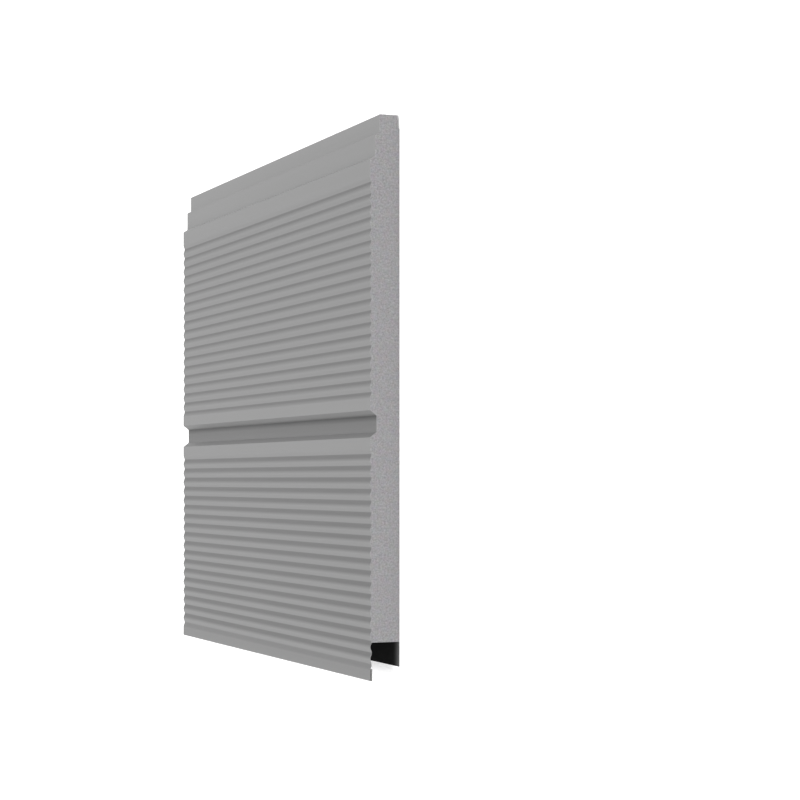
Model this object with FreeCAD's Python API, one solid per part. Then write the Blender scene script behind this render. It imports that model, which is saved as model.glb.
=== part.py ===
import FreeCAD, Part
import math
import os

# Insulated sandwich wall panel, lying flat: inner skin on the floor, profiled outer face up.
# X runs along the panel, Y across it with the tongue at +Y and the skirts at -Y, and Z is up.
# The origin is the middle of the underside.  All sizes are in millimetres.
#
# The section is drawn in (s, d): s is the way down the face from the top of the tongue,
# and d is the depth below the outer face.

PANEL_LENGTH = 1250.0        # length of this piece
COVER_WIDTH = 1000.0         # tongue top to recess ceiling: what one panel adds to a wall
THICKNESS = 60.0             # outer face to inner face
SHEET = 0.5                  # steel of both skins

TONGUE_HEIGHT = 36.0         # thinnest part of the tongue edge
TONGUE_SETBACK = 19.0        # its front, below the outer face
TONGUE_STEP_RUN = 3.0        # slope from the tongue to the fixing strip
FIXING_STRIP_HEIGHT = 41.0   # strip that takes the screws
FIXING_STRIP_SETBACK = 10.0
SHOULDER_RUN = 6.5           # slope from the fixing strip to the outer face
EDGE_RETURN = 8.0            # both sheets fold this far over the top of the tongue

BACK_STEP_HEIGHT = 23.0      # the tongue's back is set in over this height
BACK_STEP_SETBACK = 3.5
BACK_STEP_RUN = 3.0

TOP_BAND = 31.5              # smooth band between the shoulder and the first rib
RIB_PITCH = 22.1
RIB_DEPTH = 2.7
GROOVE_CENTRE = 586.3        # down from the top of the tongue
GROOVE_FLOOR = 31.5
GROOVE_SLOPE_RUN = 10.0
GROOVE_DEPTH = 13.0
GROOVE_BORDER = 20.8         # smooth border kept on each side of the groove

FRONT_SKIRT = 73.0           # outer sheet below the recess ceiling
SKIRT_BORDER = 19.6          # smooth border kept above the skirt's lower edge
HEM_DEPTH = 4.5              # the lower edge folds in by this much
HEM_HEIGHT = 23.0            # and back up by this much
BACK_SKIRT = 47.5            # inner sheet below the recess ceiling

OVERALL_WIDTH = COVER_WIDTH + FRONT_SKIRT


def at(s, d):
    """The point s down the face and d below it, in the plane of the far end."""
    return FreeCAD.Vector(-PANEL_LENGTH / 2, OVERALL_WIDTH / 2 - s, THICKNESS - d)


class Line:
    """A line across the panel, drawn from the tongue down."""

    def __init__(self, s, d):
        self.s, self.d = s, d
        self.edges = []

    def to(self, s, d):
        """A straight stretch."""
        self.edges.append(Part.LineSegment(at(self.s, self.d), at(s, d)).toShape())
        self.s, self.d = s, d

    def arc(self, middle_s, middle_d, s, d):
        """An arc through a middle point."""
        points = at(self.s, self.d), at(middle_s, middle_d), at(s, d)
        self.edges.append(Part.Arc(*points).toShape())
        self.s, self.d = s, d

    def ribs(self, count):
        """A wave of tangent arcs, level with the face at both ends.

        Each valley or crest is one arc, half a pitch long and half the ribs' depth high.
        The wave starts and ends with half a crest.
        """
        quarter = RIB_PITCH / 4
        rise = RIB_DEPTH / 2
        radius = (quarter ** 2 + rise ** 2) / (2 * rise)
        eighth_turn = math.asin(quarter / radius) / 2
        along = radius * math.sin(eighth_turn)
        below = radius * (1 - math.cos(eighth_turn))

        self.arc(self.s + along, below, self.s + quarter, rise)
        for rib in range(count):
            self.arc(self.s + quarter, RIB_DEPTH, self.s + 2 * quarter, rise)
            if rib < count - 1:
                self.arc(self.s + quarter, 0.0, self.s + 2 * quarter, rise)
        self.arc(self.s + quarter - along, below, self.s + quarter, 0.0)


def rib_count(start, end):
    """How many whole ribs fit between two places."""
    return max(1, int((end - start) / RIB_PITCH))


def outer_line():
    """The outer skin's outside, from its fold over the tongue to the end of the skirt's hem."""
    step_end = TONGUE_HEIGHT + TONGUE_STEP_RUN
    strip_end = step_end + FIXING_STRIP_HEIGHT
    face_top = strip_end + SHOULDER_RUN
    groove_half = GROOVE_FLOOR / 2 + GROOVE_SLOPE_RUN
    groove_top = GROOVE_CENTRE - groove_half
    groove_bottom = GROOVE_CENTRE + groove_half
    upper_ribs = face_top + TOP_BAND
    lower_ribs = groove_bottom + GROOVE_BORDER

    line = Line(0.0, TONGUE_SETBACK + EDGE_RETURN)
    line.to(0.0, TONGUE_SETBACK)
    line.to(TONGUE_HEIGHT, TONGUE_SETBACK)
    line.to(step_end, FIXING_STRIP_SETBACK)
    line.to(strip_end, FIXING_STRIP_SETBACK)
    line.to(face_top, 0.0)
    line.to(upper_ribs, 0.0)
    line.ribs(rib_count(upper_ribs, groove_top - GROOVE_BORDER))
    line.to(groove_top, 0.0)
    line.to(groove_top + GROOVE_SLOPE_RUN, GROOVE_DEPTH)
    line.to(groove_bottom - GROOVE_SLOPE_RUN, GROOVE_DEPTH)
    line.to(groove_bottom, 0.0)
    line.to(lower_ribs, 0.0)
    line.ribs(rib_count(lower_ribs, OVERALL_WIDTH - SKIRT_BORDER))
    line.to(OVERALL_WIDTH, 0.0)
    line.to(OVERALL_WIDTH, HEM_DEPTH)
    line.to(OVERALL_WIDTH - HEM_HEIGHT, HEM_DEPTH)
    return line


def inner_line():
    """The inner skin's outside, from its fold over the tongue to the end of the back skirt."""
    tongue_back = THICKNESS - BACK_STEP_SETBACK
    line = Line(0.0, tongue_back - EDGE_RETURN)
    line.to(0.0, tongue_back)
    line.to(BACK_STEP_HEIGHT, tongue_back)
    line.to(BACK_STEP_HEIGHT + BACK_STEP_RUN, THICKNESS)
    line.to(COVER_WIDTH + BACK_SKIRT, THICKNESS)
    return line


def thickened(line, side):
    """The section of a sheet with its outside on a line; side is the way to its inside."""
    return Part.Wire(line.edges).makeOffset2D(side * SHEET, join=2, fill=True, openResult=True)


def closed_face(edges):
    """The area inside edges that make one closed line, in any order."""
    return Part.Face(Part.Wire(Part.sortEdges(edges)[0]))


def core_section(outer, inner, skins):
    """What the skins leave free between the top of the tongue and the recess ceiling."""
    top = Line(0.0, THICKNESS - BACK_STEP_SETBACK - EDGE_RETURN)
    top.to(0.0, TONGUE_SETBACK + EDGE_RETURN)
    below = Line(outer.s, outer.d)
    below.to(inner.s, inner.d)
    between_skins = closed_face(top.edges + outer.edges + below.edges + inner.edges)

    insulated = Line(0.0, 0.0)
    insulated.to(COVER_WIDTH, 0.0)
    insulated.to(COVER_WIDTH, THICKNESS)
    insulated.to(0.0, THICKNESS)
    insulated.to(0.0, 0.0)
    return between_skins.common(closed_face(insulated.edges)).cut(skins)


def export(name, section):
    """One solid for each face of a section, drawn along the whole panel."""
    solid = section.Faces[0].extrude(FreeCAD.Vector(PANEL_LENGTH, 0, 0))
    solid.exportStep(f"parts/{name}.step")
    print(f"{name}: {solid.Volume / 1e6:.3f} litres, valid {solid.isValid()}")


def main():
    os.makedirs("parts", exist_ok=True)
    outer, inner = outer_line(), inner_line()
    outer_skin = thickened(outer, -1)
    inner_skin = thickened(inner, 1)
    export("outer_skin", outer_skin)
    export("core", core_section(outer, inner, [outer_skin, inner_skin]))
    export("inner_skin", inner_skin)


main()
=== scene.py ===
import math

import bmesh
import bpy
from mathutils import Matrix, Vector


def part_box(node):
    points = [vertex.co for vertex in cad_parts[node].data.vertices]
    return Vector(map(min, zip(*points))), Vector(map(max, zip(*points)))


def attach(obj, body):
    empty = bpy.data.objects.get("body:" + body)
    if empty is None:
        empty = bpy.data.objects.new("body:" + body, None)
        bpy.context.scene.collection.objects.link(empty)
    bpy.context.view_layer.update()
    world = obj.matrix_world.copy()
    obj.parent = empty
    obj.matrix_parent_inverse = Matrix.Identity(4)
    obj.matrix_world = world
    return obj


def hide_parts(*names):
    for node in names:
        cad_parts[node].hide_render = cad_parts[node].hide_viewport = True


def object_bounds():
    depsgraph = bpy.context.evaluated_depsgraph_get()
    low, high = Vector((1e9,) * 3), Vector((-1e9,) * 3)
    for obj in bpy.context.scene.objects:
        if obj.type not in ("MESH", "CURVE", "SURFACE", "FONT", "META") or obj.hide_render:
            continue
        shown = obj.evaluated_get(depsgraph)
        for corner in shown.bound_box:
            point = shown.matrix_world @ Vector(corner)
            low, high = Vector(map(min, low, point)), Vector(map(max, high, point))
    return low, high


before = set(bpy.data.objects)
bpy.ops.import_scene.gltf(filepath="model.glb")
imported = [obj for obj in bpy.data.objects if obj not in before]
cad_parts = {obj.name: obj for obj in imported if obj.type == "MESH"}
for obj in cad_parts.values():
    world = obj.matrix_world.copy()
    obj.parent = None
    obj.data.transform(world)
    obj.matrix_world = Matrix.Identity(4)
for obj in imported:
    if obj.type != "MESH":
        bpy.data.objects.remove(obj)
CAD_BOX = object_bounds()

# Sizes are in metres.  The section is drawn in (s, d): s is the way down the face from the top
# of the tongue, and d is the depth below the outer face.
LOW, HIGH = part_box("outer_skin")
HALF_LENGTH = HIGH.x
TONGUE_TOP = HIGH.y
FACE_TOP = HIGH.z
OVERALL_WIDTH = HIGH.y - LOW.y
RECESS_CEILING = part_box("core")[0].y

SHEET = 0.0005
TONGUE_HEIGHT = 0.036
TONGUE_SETBACK = 0.019
TONGUE_STEP_RUN = 0.003
FIXING_STRIP_HEIGHT = 0.041
FIXING_STRIP_SETBACK = 0.010
SHOULDER_RUN = 0.0065
EDGE_RETURN = 0.008
TOP_BAND = 0.0315
RIB_PITCH = 0.0221
RIB_DEPTH = 0.0027
GROOVE_CENTRE = 0.5863
GROOVE_FLOOR = 0.0315
GROOVE_SLOPE_RUN = 0.010
GROOVE_DEPTH = 0.013
GROOVE_BORDER = 0.0208
SKIRT_BORDER = 0.0196
HEM_DEPTH = 0.0045
HEM_HEIGHT = 0.023

STEP_END = TONGUE_HEIGHT + TONGUE_STEP_RUN
STRIP_END = STEP_END + FIXING_STRIP_HEIGHT
SHOULDER_END = STRIP_END + SHOULDER_RUN
GROOVE_TOP = GROOVE_CENTRE - GROOVE_FLOOR / 2 - GROOVE_SLOPE_RUN
GROOVE_BOTTOM = GROOVE_CENTRE + GROOVE_FLOOR / 2 + GROOVE_SLOPE_RUN
UPPER_RIBS = SHOULDER_END + TOP_BAND
LOWER_RIBS = GROOVE_BOTTOM + GROOVE_BORDER

BEND_RADIUS = 0.0012         # on the inside of a bend
BEND_STEPS = 5
STEPS_PER_RIB = 24

CAMERA_PLACE = Vector((4.247, -0.154, 1.4845))
CAMERA_TILT = math.radians(67.7)
LENS = 92.7
SENSOR = 36.0
VIEW_SHIFT = 0.0986
VIEW_REACH = 100.0

AIR_STRENGTH = 1.20
KEY_STRENGTH = 1.1
KEY_SPREAD = math.radians(20.0)
KEY_FROM = Vector((0.42, -0.12, 0.90))
FLOOR_GAP = 0.0002
FLOOR_SPAN = 60.0


# ---------------------------------------------------------------- shader building


class Number:
    """A value that flows between shader nodes.

    Arithmetic on it adds Math nodes and is for numbers alone.  Colours go through
    Material.blend.
    """

    def __init__(self, material, socket):
        self.material = material
        self.socket = socket

    def math(self, operation, *values):
        return self.material.node("ShaderNodeMath", {"operation": operation}, values)

    def __add__(self, other):
        return self.math("ADD", self, other)

    def __radd__(self, other):
        return self.math("ADD", other, self)

    def __sub__(self, other):
        return self.math("SUBTRACT", self, other)

    def __rsub__(self, other):
        return self.math("SUBTRACT", other, self)

    def __mul__(self, other):
        return self.math("MULTIPLY", self, other)

    def __rmul__(self, other):
        return self.math("MULTIPLY", other, self)

    def __truediv__(self, other):
        return self.math("DIVIDE", self, other)

    def above(self, limit):
        return self.math("GREATER_THAN", self, limit)

    def below(self, limit):
        return self.math("LESS_THAN", self, limit)

    def fraction(self):
        return self.math("FRACT", self)

    def size(self):
        """The number without its sign."""
        return self.math("ABSOLUTE", self)

    def clamped(self):
        return self.math("MINIMUM", self.math("MAXIMUM", self, 0.0), 1.0)

    def between(self, low, high):
        """0 at low, 1 at high, and clamped outside them."""
        return ((self - low) / (high - low)).clamped()


class Material:
    """One material: a Principled shader and the nodes that feed it.

    Values that are the same all over are given by the shader's own socket names.
    """

    def __init__(self, name, **uniform):
        self.data = bpy.data.materials.new(name)
        self.data.use_nodes = True
        self.tree = self.data.node_tree
        self.shader = self.tree.nodes["Principled BSDF"]
        for socket, value in uniform.items():
            self.shader.inputs[socket.replace("_", " ")].default_value = value
        self.place = self.node("ShaderNodeTexCoord", output="Object")

    def node(self, kind, settings=None, inputs=(), output=0):
        """Adds a node.  Its settings go first; inputs are in order, or a dict by name."""
        made = self.tree.nodes.new(kind)
        for key, value in (settings or {}).items():
            setattr(made, key, value)
        pairs = inputs.items() if isinstance(inputs, dict) else enumerate(inputs)
        for key, value in pairs:
            self.feed(made.inputs[key], value)
        return Number(self, made.outputs[output])

    def feed(self, socket, value):
        if isinstance(value, Number):
            self.tree.links.new(value.socket, socket)
        else:
            socket.default_value = value

    def set(self, socket, value):
        """Feeds one of the shader's sockets."""
        self.feed(self.shader.inputs[socket], value)

    def noise(self, scale, detail=2.0, roughness=0.5, at=None, output="Fac"):
        inputs = {"Vector": at or self.place, "Scale": scale, "Detail": detail,
                  "Roughness": roughness}
        return self.node("ShaderNodeTexNoise", {}, inputs, output)

    def streaks(self, scales, detail=3.0):
        """Noise that is drawn out, with a scale for each axis."""
        drawn_out = self.node("ShaderNodeVectorMath", {"operation": "MULTIPLY"},
                              (self.place, scales))
        return self.noise(1.0, detail, at=drawn_out)

    def cells(self, scale):
        """Distance from the middle of the nearest foam cell, in cells."""
        return self.node("ShaderNodeTexVoronoi", {"feature": "F1"},
                         {"Vector": self.place, "Scale": scale}, "Distance")

    def axis(self, name):
        """The place along one of the part's axes."""
        return self.node("ShaderNodeSeparateXYZ", {}, (self.place,), name)

    def facing(self, name):
        """How far the surface faces along an axis, from -1 to 1."""
        normal = self.node("ShaderNodeNewGeometry", output="Normal")
        return self.node("ShaderNodeSeparateXYZ", {}, (normal,), name)

    def blend(self, factor, first, second):
        """The first colour at factor 0, and the second at 1."""
        inputs = {0: factor, 6: self.colour(first), 7: self.colour(second)}
        return self.node("ShaderNodeMix", {"data_type": "RGBA"}, inputs, 2)

    @staticmethod
    def colour(value):
        return value if isinstance(value, Number) else (*value, 1.0)

    def bump(self, height, depth, strength):
        """Relief too fine for the mesh, as deep as depth where height is 1."""
        inputs = {"Height": height, "Distance": depth, "Strength": strength}
        self.set("Normal", self.node("ShaderNodeBump", {}, inputs, "Normal"))


# ---------------------------------------------------------------- materials

# Noise scales are per metre.  Ranges are pairs of values that become 0 and 1.
COAT_GREY = (0.188, 0.188, 0.188)
COAT_SHADE = (0.177, 0.177, 0.177)
OUTER_SHEEN = 0.3
INNER_SHEEN = 0.08
ROLL_LINES = (1.2, 55.0, 55.0)
CLOUD_SCALE = 3.0
CLOUD_SHARE = 0.6            # of the coat's mottle.  The roll lines make the rest
COAT_RANGE = (0.3, 0.7)
COAT_ROUGHNESS = 0.46
CLOUD_ROUGHNESS = 0.10
DUST_ROUGHNESS = 0.05
RECESS_ROUGHNESS = 0.42
PEEL_SCALE = 650.0
PEEL_SHARE = 0.6             # of the coat's relief.  The roll lines make the rest
PEEL_DEPTH = 0.00006

# Random dust blends towards this grey, and so does the painted light at the tongue's foot.
DUST_AND_PAINTED_LIGHT_GREY = (0.230, 0.228, 0.225)
DUST_SCALE = 260.0
DUST_RANGE = (0.56, 0.74)
DUST_SHARE = 0.15
FOOT_PAINTED_LIGHT = 0.25             # painted light at the tongue's foot, paler where the step's shade falls
FOOT_LIGHT_REACH = 0.013

# The colour of the painted shade on ribs and groove, and of the darker tone along the skirt's
# border.  Lengthwise streaks vary their share.
DARK_TONE_GREY = (0.02, 0.02, 0.02)
DARK_TONE_STREAKS = (5.0, 220.0, 220.0)
STREAKS_LEAST = 0.92
STREAKS_SPAN = 0.16

# Shares of painted shade on the ribs and in the groove, and of a darker tone along the front
# skirt's border.  The ribs' bands are placed in rib pitches from each valley.
RIB_PAINTED_SHADE = 0.46
BAND_RISE = 0.07
UPPER_BAND_FADE = (0.14, 0.56)
LOWER_BAND_FADE = (0.28, 0.60)
BAND_TRIM = 0.02             # left without painted shade at the end of a rib field
# Takes painted shade off the last rib, where the border's darker tone starts.
LAST_RIB_LESS_SHADE = 0.7
BORDER_DARKENING = 0.16
UPPER_SLOPE_PAINTED_SHADE = 0.21
LOWER_SLOPE_PAINTED_SHADE = 0.34
GROOVE_FLOOR_PAINTED_SHADE = 0.54
GROOVE_FLOOR_SHADE_DROP = 0.16      # from the groove floor's upper crease to its lower one
CREASE_PAINTED_SHADE = 0.42
CREASE_REACH = 0.0110
CREASE_RISE = CREASE_REACH / 3

# Painted shade: the recess's inside is near black, with painted light paler towards the open
# ends.
RECESS_PAINTED_SHADE_GREY = (0.004, 0.004, 0.004)
RECESS_SHADE = (0.008, 0.008, 0.008)
RECESS_END_PAINTED_LIGHT_GREY = (0.115, 0.115, 0.115)
RECESS_PAINTED_LIGHT_FADE = 0.033
FACING_UP = 0.5              # least upward part of a face's direction

BACKING_GREY = (0.60, 0.60, 0.59)
BACKING_SHADE = (0.52, 0.52, 0.51)
BACKING_SCALE = 40.0
BACKING_GRAIN_SCALE = 700.0
BACKING_GRAIN_DEPTH = 0.00005

ZINC_GREY = (0.36, 0.36, 0.365)
ZINC_SHADE = (0.22, 0.22, 0.22)
BURR_SCALE = 900.0
BURR_DEPTH = 0.00008

FOAM_GREY = (0.217, 0.213, 0.218)
FOAM_PORE = (0.157, 0.154, 0.159)
FOAM_WALL = (0.291, 0.286, 0.293)
CELL_SCALE = 650.0
PORE_SCALE = 230.0
PORE_RANGE = (0.30, 0.10)    # from a pore's rim to its middle
PORE_GRAIN_RANGE = (0.42, 0.60)
PORE_SHARE = 0.6
GRAIN_SCALE = 420.0
GRAIN_SHARE = 0.35           # of the speckle.  The blotches make the rest
BLOTCH_SCALE = 280.0
SPECKLE_RANGE = (0.36, 0.64)
MOTTLE_SCALE = 24.0
MOTTLE_SHARE = 0.25
TINT_SCALE = 90.0
TINT_SHARE = 0.035
SAW_MARKS = (6.0, 6.0, 420.0)
FOAM_DEPTH = 0.0006

FLOOR_WHITE = (0.88, 0.88, 0.88)
FLOOR_SHADE = (0.86, 0.86, 0.86)
FLOOR_SCALE = 1.5
FLOOR_GLOW = 0.30


def coil_coat(name, sheen, darkening=None, painted_light=None, recess_below=None):
    """Matt polyester coat on steel with dust at random, darker where shade or a darker tone is
    painted in and paler where light is painted in.

    Where Y is less than recess_below, the side that faces up is painted near black as the
    recess's shade, and paler towards the open ends as painted light.
    """
    coat = Material(name, Specular_IOR_Level=sheen)
    rolled = coat.streaks(ROLL_LINES)
    clouds = coat.noise(CLOUD_SCALE, detail=3.0, roughness=0.55)
    dust = coat.noise(DUST_SCALE, detail=4.0, roughness=0.65).between(*DUST_RANGE)
    mottle = CLOUD_SHARE * clouds + (1.0 - CLOUD_SHARE) * rolled
    colour = coat.blend(mottle.between(*COAT_RANGE), COAT_SHADE, COAT_GREY)
    colour = coat.blend(DUST_SHARE * dust, colour, DUST_AND_PAINTED_LIGHT_GREY)
    # Painted light, paler where shade would fall.
    if painted_light:
        colour = coat.blend(painted_light(coat), colour, DUST_AND_PAINTED_LIGHT_GREY)
    # Painted shade and darker tones, varied by lengthwise streaks.
    if darkening:
        streaks = STREAKS_LEAST + STREAKS_SPAN * coat.streaks(DARK_TONE_STREAKS)
        colour = coat.blend(darkening(coat) * streaks, colour, DARK_TONE_GREY)
    roughness = COAT_ROUGHNESS + CLOUD_ROUGHNESS * clouds + DUST_ROUGHNESS * dust
    # The recess's upward-facing inside is painted near black as shade, with painted light
    # towards the ends.
    if recess_below is not None:
        inside = coat.axis("Y").below(recess_below) * coat.facing("Z").above(FACING_UP)
        colour = coat.blend(inside, colour, recess_painted_shade(coat, clouds))
        roughness = roughness + RECESS_ROUGHNESS * inside
    coat.set("Base Color", colour)
    coat.set("Roughness", roughness)
    peel = coat.noise(PEEL_SCALE)
    coat.bump(PEEL_SHARE * peel + (1.0 - PEEL_SHARE) * rolled, PEEL_DEPTH, strength=0.5)
    return coat.data


def outer_darkening(coat):
    """Shares of darkening on the outer face.

    From each valley on to its next crest and in the groove it is painted shade; from the last
    valley on along the front skirt's border it is a darker tone.
    """
    down = TONGUE_TOP - coat.axis("Y")
    lower_end = OVERALL_WIDTH - SKIRT_BORDER
    last_valley = LOWER_RIBS + (rib_count(LOWER_RIBS, lower_end) - 0.5) * RIB_PITCH
    border = down.above(last_valley - BAND_RISE * RIB_PITCH)
    upper_bands = rib_bands(down, UPPER_RIBS, GROOVE_TOP - GROOVE_BORDER, UPPER_BAND_FADE)
    lower_bands = rib_bands(down, LOWER_RIBS, lower_end, LOWER_BAND_FADE)
    lower_bands = lower_bands * (1.0 - LAST_RIB_LESS_SHADE * border)
    return (RIB_PAINTED_SHADE * (upper_bands + lower_bands) + BORDER_DARKENING * border
            + groove_painted_shade(down))


def rib_bands(down, start, end, fade):
    """1 in the painted-shade band of each rib between two places, and 0 elsewhere."""
    ribs_end = start + rib_count(start, end) * RIB_PITCH
    from_valley = ((down - start) / RIB_PITCH + 0.5).fraction()
    bands = from_valley.between(1.0 - BAND_RISE, 1.0) + (1.0 - from_valley.between(*fade))
    return (bands * down.above(start + (0.5 - BAND_RISE) * RIB_PITCH)
            * down.below(ribs_end - BAND_TRIM * RIB_PITCH))


def groove_painted_shade(down):
    """Shares of painted shade on the groove's slopes and floor, with more in the upper crease.
    """
    upper_crease = GROOVE_TOP + GROOVE_SLOPE_RUN
    lower_crease = GROOVE_BOTTOM - GROOVE_SLOPE_RUN
    upper_slope = down.above(GROOVE_TOP) * down.below(upper_crease)
    floor = down.above(upper_crease) * down.below(lower_crease)
    lower_slope = down.above(lower_crease) * down.below(GROOVE_BOTTOM)
    floor_share = GROOVE_FLOOR_PAINTED_SHADE - GROOVE_FLOOR_SHADE_DROP * down.between(upper_crease, lower_crease)
    crease = (down.between(upper_crease - CREASE_RISE, upper_crease)
              * (1.0 - down.between(upper_crease, upper_crease + CREASE_REACH)))
    return (UPPER_SLOPE_PAINTED_SHADE * upper_slope + floor_share * floor
            + LOWER_SLOPE_PAINTED_SHADE * lower_slope + CREASE_PAINTED_SHADE * crease)


def foot_painted_light(coat):
    """The share of painted light at the tongue's foot, paler against the step where its shade
    falls.
    """
    down = TONGUE_TOP - coat.axis("Y")
    towards_foot = down.between(TONGUE_HEIGHT - FOOT_LIGHT_REACH, TONGUE_HEIGHT)
    return FOOT_PAINTED_LIGHT * towards_foot * down.below(STEP_END)


def recess_painted_shade(coat, mottle):
    """Painted shade on the inner sheet's inside: near black, with painted light paler towards
    the panel's open ends.
    """
    painted_dark = coat.blend(mottle, RECESS_PAINTED_SHADE_GREY, RECESS_SHADE)
    from_end = HALF_LENGTH - coat.axis("X").size()
    near_end = from_end.between(RECESS_PAINTED_LIGHT_FADE, 0.0)
    return coat.blend(near_end * near_end, painted_dark, RECESS_END_PAINTED_LIGHT_GREY)


def backing_coat():
    """The thin pale coat on the outer sheet's inside."""
    coat = Material("backing_coat", Specular_IOR_Level=0.25)
    mottle = coat.noise(BACKING_SCALE, detail=4.0, roughness=0.6)
    coat.set("Base Color", coat.blend(mottle, BACKING_SHADE, BACKING_GREY))
    coat.set("Roughness", 0.55 + 0.2 * mottle)
    coat.bump(coat.noise(BACKING_GRAIN_SCALE), BACKING_GRAIN_DEPTH, strength=0.5)
    return coat.data


def cut_steel():
    """The bare edge that the slitter or saw leaves."""
    steel = Material("cut_steel", Metallic=1.0)
    burr = steel.noise(BURR_SCALE, detail=3.0, roughness=0.6)
    steel.set("Base Color", steel.blend(burr, ZINC_SHADE, ZINC_GREY))
    steel.set("Roughness", 0.35 + 0.25 * burr)
    steel.bump(burr, BURR_DEPTH, strength=0.6)
    return steel.data


def cut_foam():
    """Closed-cell foam, sawn: cell walls, open pores and faint saw marks."""
    foam = Material("cut_foam", Specular_IOR_Level=0.12)
    cells = foam.cells(CELL_SCALE)
    grain = foam.noise(GRAIN_SCALE, detail=4.0, roughness=0.7)
    blotches = foam.noise(BLOTCH_SCALE, detail=3.0, roughness=0.65)
    mottle = foam.noise(MOTTLE_SCALE, detail=4.0, roughness=0.6)
    tint = foam.noise(TINT_SCALE, output="Color")
    pores = foam.cells(PORE_SCALE).between(*PORE_RANGE) * grain.between(*PORE_GRAIN_RANGE)
    speckle = GRAIN_SHARE * grain + (1.0 - GRAIN_SHARE) * blotches
    speckle = speckle.between(*SPECKLE_RANGE)
    colour = foam.blend(speckle, FOAM_PORE, FOAM_WALL)
    colour = foam.blend(PORE_SHARE * pores, colour, FOAM_PORE)
    colour = foam.blend(MOTTLE_SHARE * mottle, colour, FOAM_GREY)
    colour = foam.blend(TINT_SHARE, colour, tint)
    foam.set("Base Color", colour)
    foam.set("Roughness", 0.88 + 0.1 * speckle)
    saw = foam.streaks(SAW_MARKS, detail=2.0)
    relief = 0.55 * cells + 0.3 * grain - 0.5 * pores + 0.15 * saw
    foam.bump(relief, FOAM_DEPTH, strength=0.7)
    return foam.data


def floor_paint():
    """Pale paint that glows faintly, so that the floor stays white under the panel's edges."""
    paint = Material("studio_floor", Roughness=0.9, Specular_IOR_Level=0.1,
                     Emission_Color=(1.0, 1.0, 1.0, 1.0), Emission_Strength=FLOOR_GLOW)
    wear = paint.noise(FLOOR_SCALE, detail=3.0)
    paint.set("Base Color", paint.blend(wear, FLOOR_SHADE, FLOOR_WHITE))
    return paint.data


# ---------------------------------------------------------------- the outer sheet


def rib_radius():
    """Radius of the arcs that make the wave."""
    quarter, rise = RIB_PITCH / 4, RIB_DEPTH / 2
    return (quarter ** 2 + rise ** 2) / (2 * rise)


def rib_dip(along):
    """Depth of the wave of tangent arcs; along is in pitches from a crest."""
    radius = rib_radius()
    from_crest = abs((along + 0.5) % 1.0 - 0.5) * RIB_PITCH
    if from_crest <= RIB_PITCH / 4:
        return radius - math.sqrt(radius ** 2 - from_crest ** 2)
    from_valley = RIB_PITCH / 2 - from_crest
    return RIB_DEPTH - radius + math.sqrt(radius ** 2 - from_valley ** 2)


def rib_count(start, end):
    """Whole ribs that fit between two places."""
    return int((end - start) / RIB_PITCH)


def ribs(start, end):
    """Points of the rib field between two places, without its first point."""
    steps = rib_count(start, end) * STEPS_PER_RIB
    return [(start + RIB_PITCH * i / STEPS_PER_RIB, rib_dip(i / STEPS_PER_RIB))
            for i in range(1, steps)] + [(start + RIB_PITCH * steps / STEPS_PER_RIB, 0.0)]


def bent(before, corner, after):
    """Points of the bend that rounds a corner of the sheet's outside.

    Where the sheet turns into the panel, its outside goes the longer way round the bend, and
    its thickness is added to the radius.
    """
    into = (Vector(corner) - Vector(before)).normalized()
    out = (Vector(after) - Vector(corner)).normalized()
    turn = into.angle_signed(out)
    radius = BEND_RADIUS + (SHEET if turn < 0 else 0.0)
    reach = radius * math.tan(abs(turn) / 2)
    first = Vector(corner) - into * reach
    last = Vector(corner) + out * reach
    points = []
    for i in range(BEND_STEPS + 1):
        t = i / BEND_STEPS
        chord = first.lerp(last, t)
        pull = 2 * t * (1 - t)
        points.append(tuple(chord * (1 - pull) + Vector(corner) * pull))
    return points


def outside_line():
    """The sheet's outside, from its fold over the tongue to the end of the skirt's hem."""
    def folded(corners):
        points = [corners[0]]
        for before, corner, after in zip(corners, corners[1:], corners[2:]):
            points += bent(before, corner, after)
        return points + [corners[-1]]

    tongue = folded([
        (0.0, TONGUE_SETBACK + EDGE_RETURN),
        (0.0, TONGUE_SETBACK),
        (TONGUE_HEIGHT, TONGUE_SETBACK),
        (STEP_END, FIXING_STRIP_SETBACK),
        (STRIP_END, FIXING_STRIP_SETBACK),
        (SHOULDER_END, 0.0),
        (UPPER_RIBS, 0.0)])
    groove = folded([
        (GROOVE_TOP - GROOVE_BORDER, 0.0),
        (GROOVE_TOP, 0.0),
        (GROOVE_TOP + GROOVE_SLOPE_RUN, GROOVE_DEPTH),
        (GROOVE_BOTTOM - GROOVE_SLOPE_RUN, GROOVE_DEPTH),
        (GROOVE_BOTTOM, 0.0),
        (LOWER_RIBS, 0.0)])
    hem = folded([
        (OVERALL_WIDTH - SKIRT_BORDER / 2, 0.0),
        (OVERALL_WIDTH, 0.0),
        (OVERALL_WIDTH, HEM_DEPTH),
        (OVERALL_WIDTH - HEM_HEIGHT, HEM_DEPTH)])
    upper = ribs(UPPER_RIBS, GROOVE_TOP - GROOVE_BORDER)
    lower = ribs(LOWER_RIBS, OVERALL_WIDTH - SKIRT_BORDER)
    return tongue + upper + groove + lower + hem


def inside_line(outside):
    """The same line, one sheet thickness further in."""
    points = []
    last = len(outside) - 1
    for i, here in enumerate(outside):
        before = Vector(outside[max(i - 1, 0)])
        after = Vector(outside[min(i + 1, last)])
        along = (after - before).normalized()
        points.append((here[0] - along.y * SHEET, here[1] + along.x * SHEET))
    return points


def section_point(x, point):
    """The place in the part's frame of a point of the section, at x along the panel."""
    s, d = point
    return Vector((x, TONGUE_TOP - s, FACE_TOP - d))


PAINTED, BACKED, CUT = range(3)


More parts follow.
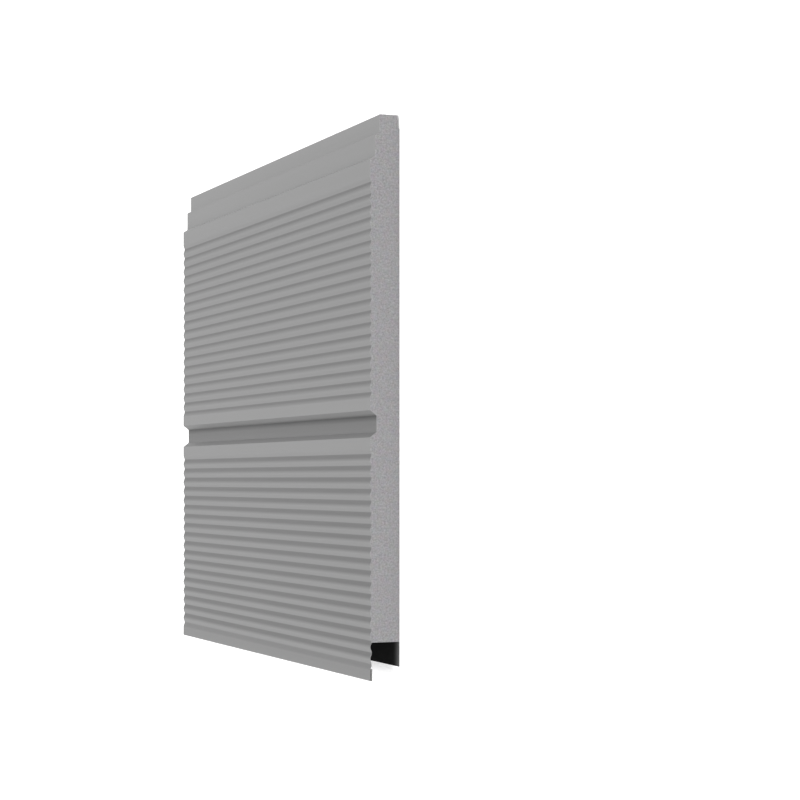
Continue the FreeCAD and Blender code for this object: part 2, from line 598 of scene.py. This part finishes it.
def outer_sheet(coat, backing, steel):
    """The whole roll-formed sheet: painted outside, backing coat inside, bare cut edges."""
    outside = outside_line()
    inside = inside_line(outside)
    mesh = bmesh.new()

    def row(x, line):
        return [mesh.verts.new(section_point(x, point)) for point in line]

    def face(slot, *corners):
        made = mesh.faces.new(corners)
        made.material_index = slot
        made.smooth = slot != CUT

    far_out, far_in = row(-HALF_LENGTH, outside), row(-HALF_LENGTH, inside)
    near_out, near_in = row(HALF_LENGTH, outside), row(HALF_LENGTH, inside)
    last = len(outside) - 1
    for i in range(last):
        j = i + 1
        face(PAINTED, far_out[i], far_out[j], near_out[j], near_out[i])
        face(BACKED, near_in[i], near_in[j], far_in[j], far_in[i])
        face(CUT, near_out[i], near_out[j], near_in[j], near_in[i])
        face(CUT, far_in[i], far_in[j], far_out[j], far_out[i])
    for i in (0, last):
        face(CUT, far_out[i], near_out[i], near_in[i], far_in[i])
    bmesh.ops.recalc_face_normals(mesh, faces=mesh.faces)
    for edge in mesh.edges:
        edge.smooth = len({each.material_index for each in edge.link_faces}) == 1

    data = bpy.data.meshes.new("outer_sheet")
    mesh.to_mesh(data)
    mesh.free()
    for material in (coat, backing, steel):
        data.materials.append(material)
    piece = bpy.data.objects.new("outer_sheet", data)
    bpy.context.collection.objects.link(piece)
    return piece


# ---------------------------------------------------------------- studio


def studio():
    """Even white air, one broad soft key light and a pale floor."""
    world = bpy.data.worlds.new("studio_air")
    world.use_nodes = True
    air = world.node_tree.nodes["Background"]
    air.inputs["Color"].default_value = (1.0, 1.0, 1.0, 1.0)
    air.inputs["Strength"].default_value = AIR_STRENGTH
    bpy.context.scene.world = world

    key = bpy.data.objects.new("key", bpy.data.lights.new("key", "SUN"))
    key.data.energy = KEY_STRENGTH
    key.data.angle = KEY_SPREAD
    key.rotation_euler = (-KEY_FROM).to_track_quat("-Z", "Y").to_euler()
    bpy.context.collection.objects.link(key)

    under_part = (0.0, 0.0, CAD_BOX[0].z - FLOOR_GAP)
    bpy.ops.mesh.primitive_plane_add(size=FLOOR_SPAN, location=under_part)
    floor = bpy.context.object
    floor.name = "studio_floor"
    floor.data.materials.append(floor_paint())


def camera():
    """Stands beyond the panel's near end and looks down on it, with the tongue at the top."""
    data = bpy.data.cameras.new("camera")
    data.lens = LENS
    data.sensor_width = SENSOR
    data.shift_y = VIEW_SHIFT
    data.clip_end = VIEW_REACH
    made = bpy.data.objects.new("camera", data)
    made.location = CAMERA_PLACE
    made.rotation_euler = (0.0, CAMERA_TILT, 0.0)
    bpy.context.collection.objects.link(made)
    bpy.context.scene.camera = made
    bpy.context.scene.view_settings.view_transform = "Standard"


def finish_solids():
    """Gives the CAD solids that stay in view their materials."""
    inner_coat = coil_coat("inner_coat", INNER_SHEEN, recess_below=RECESS_CEILING)
    for node, material in (("core", cut_foam()), ("inner_skin", inner_coat)):
        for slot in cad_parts[node].material_slots:
            slot.material = material


camera()
studio()
finish_solids()
outer_coat = coil_coat("outer_coat", OUTER_SHEEN, darkening=outer_darkening, painted_light=foot_painted_light)
sheet = outer_sheet(outer_coat, backing_coat(), cut_steel())
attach(sheet, "root")
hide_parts("outer_skin")
